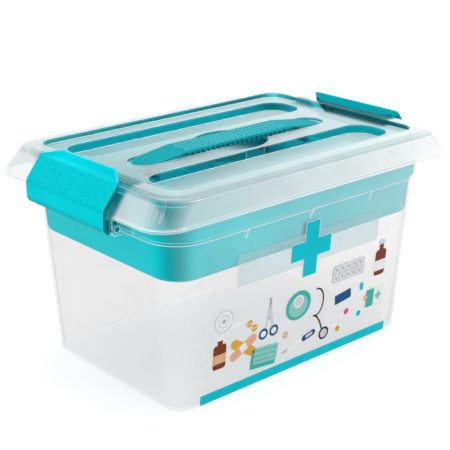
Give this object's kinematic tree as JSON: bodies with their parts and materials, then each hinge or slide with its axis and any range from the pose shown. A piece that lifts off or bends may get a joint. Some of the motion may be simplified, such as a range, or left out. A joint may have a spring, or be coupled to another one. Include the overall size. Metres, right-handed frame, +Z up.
{
  "type": "first aid box",
  "caption": "Clear tapered storage box with a snap-latched lid, lift handle, divided lift-out tray and front label, for first aid supplies.",
  "frame": {"origin": "middle of the base, on the surface the box stands on", "axes": "+X along the long side towards the right latch, +Y from the labelled front wall to the back wall, +Z up"},
  "size_m": [0.3764, 0.2464, 0.2115],
  "materials": {
    "clear_plastic": "slightly hazy clear moulded plastic",
    "clear_lid": "slightly hazy clear moulded plastic",
    "teal_plastic": "satin moulded plastic",
    "handle_plastic": "satin moulded plastic, dotted grip",
    "latch_plastic": "finely grained moulded plastic",
    "label_film": "printed clear film"
  },
  "bodies": {
    "box": {"body": "clear_plastic", "label": "label_film"},
    "lid_group": {"lid": "clear_lid"},
    "handle_group": {"handle": "handle_plastic"},
    "tray_group": {"tray": "teal_plastic"},
    "left_latch_group": {"latch_left": "latch_plastic"},
    "right_latch_group": {"latch_right": "latch_plastic"}
  },
  "joints": [
    {"name": "lid_lift", "type": "slide", "parent": "box", "child": "lid_group", "axis": [0, 0, 1], "range_m": [0, 0.045]},
    {"name": "handle_lift", "type": "slide", "parent": "lid_group", "child": "handle_group", "axis": [0, 0, 1], "range_m": [0, 0.01]},
    {"name": "tray_lift", "type": "slide", "parent": "box", "child": "tray_group", "axis": [0, 0, 1], "range_m": [0, 0.021]},
    {"name": "left_latch_hinge", "type": "hinge", "parent": "box", "child": "left_latch_group", "pos_m": [-0.17664, 0, 0.1692], "axis": [0, -1, 0], "range_deg": [0, 150]},
    {"name": "right_latch_hinge", "type": "hinge", "parent": "box", "child": "right_latch_group", "pos_m": [0.17664, 0, 0.1692], "axis": [0, 1, 0], "range_deg": [0, 150]}
  ],
  "couplings": [
    {"joint": "left_latch_hinge", "follows": "lid_lift", "rad_per_m": 58},
    {"joint": "right_latch_hinge", "follows": "lid_lift", "rad_per_m": 58},
    {"joint": "tray_lift", "follows": "lid_lift", "ratio": 0.45}
  ]
}
